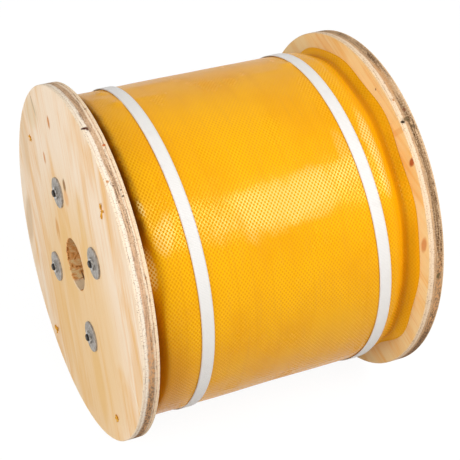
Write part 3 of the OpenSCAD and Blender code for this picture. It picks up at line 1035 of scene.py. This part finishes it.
class SPOOL_OT_straps(bpy.types.Operator):
    """Two woven straps round the wrap, each with its tail over its buckle"""

    bl_idname = "spool.straps"
    bl_label = "Woven straps"

    def execute(self, context):
        straps = context.scene.spool_straps
        webbing = strap_webbing(straps)
        tree = strap_tree()
        for side in ("left", "right"):
            low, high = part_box(f"{side}_buckle")
            at = math.degrees(math.atan2((low.y + high.y) / 2, (low.z + high.z) / 2 - AXIS_H))
            loop = [clock_point(strap_x(side, a) * MM, STRAP_R * MM, a)
                    for a in np.arange(0, 360, 1.5)]
            tail = []
            for k in np.linspace(-TAIL_HALF, TAIL_HALF, 61):
                lift = math.cos(math.pi / 2 * k / TAIL_HALF) ** 2
                r = STRAP_R + TAIL_GAP + TAIL_RISE * min(1.0, 1.6 * lift)
                tail.append(clock_point(strap_x(side, at + k) * MM, r * MM, at + k))
            mesh = path_mesh(f"{side}_strap_path", [(loop, True), (tail, False)])
            piece = shape_piece(
                f"{side}_strap_webbing", mesh, tree,
                Width=STRAP_WIDTH, Thickness=straps.thickness, Rib_Pitch=straps.rib_pitch,
                Rib_Height=straps.rib_height, Axis_Height=AXIS_H, Material=webbing,
            )
            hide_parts(f"{side}_strap")
        return {"FINISHED"}


# --- tufts ---

# Fibres pulled out round the brads' points: (clock angle, radius in mm,
# prongs as (direction on the face in degrees from up towards the far side, length in mm))
TUFTS = [
    (56.3, 167.3, [(-150, 3.5), (60, 3.5), (150, 3.5), (-40, 2.5)]),
    (-39.5, 164.4, [(0, 8), (178, 8), (-70, 5.5), (24, 5)]),
    (148.7, 181.2, [(-25, 8.5), (10, 6), (50, 8), (150, 2.5)]),
    (-138.4, 178.9, [(60, 6), (100, 6.5), (140, 5), (20, 4.5)]),
]
TUFT_SPREAD = 0.0013


def fibre_tree():
    """Bundles of thin fibres along each path, spreading towards its end."""
    s = Shape("fibre_tuft", Fibres="Int", Fibre_Radius="Float", Spread="Float", Seed="Int")
    i = s.inputs
    curve = s.add("GeometryNodeMeshToCurve", {0: i["Mesh"]})
    many = s.add(
        "GeometryNodeDuplicateElements", {0: curve, "Amount": i["Fibres"]}, domain="SPLINE"
    )
    many = s.add("GeometryNodeResampleCurve", {"Curve": many, "Count": 7}, mode="COUNT")
    many, which = s.captured(many, s.add("GeometryNodeInputIndex"), "INT", "CURVE")
    stray = s.add(
        "FunctionNodeRandomValue",
        {"Min": (-1, -1, -1), "Max": (1, 1, 1), "ID": which, "Seed": i["Seed"]},
        data_type="FLOAT_VECTOR",
    )
    part = s.add("GeometryNodeSplineParameter").outputs["Factor"]
    spread = s.moved(many, stray, s.times(s.plus(s.times(part, 0.8), 0.25), i["Spread"]))
    thinner = s.minus(1.0, s.times(part, 0.6))
    return s.give(s.sweep(spread, s.circle(5, i["Fibre Radius"]), Scale=thinner))


class SPOOL_OT_tufts(bpy.types.Operator):
    """Torn cloth fibres that the brads push out of the left flange"""

    bl_idname = "spool.tufts"
    bl_label = "Fibre tufts"

    def execute(self, context):
        tufts = context.scene.spool_tufts
        f = Finish("tuft_fibre", Roughness=0.6)
        tone = f.noise(f.place, 900, 2)
        paint = f.stain(tufts.fibre, (tone, 0.35, 0.65, 1.0, rgb(214, 150, 40)))
        material = f.finish(paint, f.span(tone, 0.3, 0.7, 0.5, 0.75))
        lines = []
        for at, r, prongs in TUFTS:
            root = np.array(clock_point(-FACE_X + 0.0004, r * MM, at))
            for way, reach in prongs:
                b = math.radians(way)
                step = np.array([-0.12, math.sin(b), math.cos(b)]) * reach * MM
                curl = np.array([-0.0007, 0.0004 * math.cos(b), -0.0004 * math.sin(b)])
                lines.append(([root + step * k + curl * math.sin(math.pi * k)
                               for k in np.linspace(0, 1, 6)], False))
        mesh = path_mesh("tuft_paths", lines)
        piece = shape_piece(
            "brad_tufts", mesh, fibre_tree(), Fibres=tufts.fibres,
            Fibre_Radius=tufts.fibre_radius, Spread=TUFT_SPREAD, Seed=7, Material=material,
        )
        return {"FINISHED"}


# --- stage ---

# Lamps: place, place that they face, width and height in metres
KEY_LIGHT = (0.75, -1.17, 1.34), (0, 0, 0.25), 0.9, 0.78
FILL_LIGHT = (-1.7, -0.75, 1.0), (0, 0, 0.2), 1.2, 1.2
# How far the camera stands right of and above the line to the spool's middle, in metres
CAMERA_SHIFT = 0.01264, -0.00077
FLOOR_HALF = 6.0
FLOOR_GREY = 0.55
# Strength of the floor's glow, and its share in what the camera, metal and glass see
FLOOR_GLOW, GLOW_SHARE = 1.17, 0.8


def soft_light(name, place, target, wide, tall, power):
    data = bpy.data.lights.new(name, "AREA")
    data.shape = "RECTANGLE"
    data.size, data.size_y = wide, tall
    data.energy = power
    away = Vector(place) - Vector(target)
    turn = away.to_track_quat("Z", "Y").to_matrix().to_4x4()
    new_object(name, data).matrix_world = Matrix.Translation(place) @ turn


def make_camera(scene, settings):
    data = bpy.data.cameras.new("camera")
    data.lens, data.sensor_width = settings.lens, 36.0
    data.clip_start, data.clip_end = 0.05, 50.0
    camera = new_object("camera", data)
    turn = (
        Matrix.Rotation(-settings.azimuth, 4, "Z")
        @ Matrix.Rotation(math.pi / 2 - settings.elevation, 4, "X")
    )
    aim = Matrix.Translation((*CAMERA_SHIFT, settings.distance))
    camera.matrix_world = Matrix.Translation((0, 0, AXIS_H)) @ turn @ aim
    scene.camera = camera


def make_world(scene, strength):
    """Even light from all round, which the camera, metal and glass see as white."""
    world = bpy.data.worlds.new("studio")
    scene.world = world
    world.use_nodes = True
    w = Nodes(world.node_tree)
    plain = world.node_tree.nodes["Background"]
    w.feed(plain.inputs["Color"], (1, 1, 1))
    w.feed(plain.inputs["Strength"], strength)
    seen = w.add("ShaderNodeBackground", {"Color": (1, 1, 1), "Strength": 1.0})
    both = w.add("ShaderNodeMixShader", {0: w.shown_directly(), 1: plain, 2: seen})
    w.feed(world.node_tree.nodes["World Output"].inputs["Surface"], both)


def make_floor():
    """Grey paper that looks white, and still takes the spool's shadow."""
    mesh = bpy.data.meshes.new("floor")
    h = FLOOR_HALF
    mesh.from_pydata([(-h, -h, 0), (h, -h, 0), (h, h, 0), (-h, h, 0)], [], [(0, 1, 2, 3)])
    f = Finish("floor_paper", Base_Color=(FLOOR_GREY,) * 3, Roughness=0.9)
    glow = f.add("ShaderNodeEmission", {"Color": (1, 1, 1), "Strength": FLOOR_GLOW})
    share = f.times(f.shown_directly(), GLOW_SHARE)
    mixed = f.add("ShaderNodeMixShader", {0: share, 1: f.shader, 2: glow})
    f.feed(f.tree.nodes["Material Output"].inputs["Surface"], mixed)
    mesh.materials.append(f.material)
    floor = new_object("floor", mesh)


class SPOOL_OT_stage(bpy.types.Operator):
    """Camera, soft studio light, and a plain pale floor"""

    bl_idname = "spool.stage"
    bl_label = "Camera, light and floor"

    def execute(self, context):
        scene = context.scene
        settings = scene.spool_stage
        make_camera(scene, settings)
        make_world(scene, settings.room_light)
        soft_light("key_light", *KEY_LIGHT, settings.key_power)
        soft_light("fill_light", *FILL_LIGHT, settings.fill_power)
        make_floor()
        scene.view_settings.view_transform = "Standard"
        return {"FINISHED"}


# --- panel and main ---


class SPOOL_PT_panel(bpy.types.Panel):
    """Lists the steps that dress the spool"""

    bl_idname = "SPOOL_PT_panel"
    bl_label = "Wire spool"
    bl_space_type = "VIEW_3D"
    bl_region_type = "UI"
    bl_category = "Spool"

    def draw(self, context):
        scene = context.scene
        for operator, group, place in STEPS:
            box = self.layout.box()
            box.operator(operator.bl_idname)
            if group:
                settings = getattr(scene, place)
                for name in settings.bl_rna.properties.keys():
                    if name not in ("rna_type", "name"):
                        box.prop(settings, name)


# Each step's operator, its settings and their name on the scene
STEPS = [
    (SPOOL_OT_stage, SpoolStageSettings, "spool_stage"),
    (SPOOL_OT_flanges, SpoolWoodSettings, "spool_wood"),
    (SPOOL_OT_barrel, None, None),
    (SPOOL_OT_steel, SpoolSteelSettings, "spool_steel"),
    (SPOOL_OT_wrap, SpoolWrapSettings, "spool_wrap"),
    (SPOOL_OT_straps, SpoolStrapSettings, "spool_straps"),
    (SPOOL_OT_tufts, SpoolTuftSettings, "spool_tufts"),
]
CLASSES = [kind for step in STEPS for kind in step[:2] if kind] + [SPOOL_PT_panel]


def register():
    for kind in CLASSES:
        bpy.utils.register_class(kind)
    for _, group, name in STEPS:
        if group:
            setattr(bpy.types.Scene, name, PointerProperty(type=group))


def unregister():
    for _, group, name in STEPS:
        if group:
            delattr(bpy.types.Scene, name)
    for kind in reversed(CLASSES):
        bpy.utils.unregister_class(kind)


def main():
    register()
    bpy.ops.spool.stage()
    bpy.ops.spool.flanges()
    bpy.ops.spool.barrel()
    bpy.ops.spool.steel()
    bpy.ops.spool.wrap()
    bpy.ops.spool.straps()
    bpy.ops.spool.tufts()


if __name__ == "__main__":
    main()
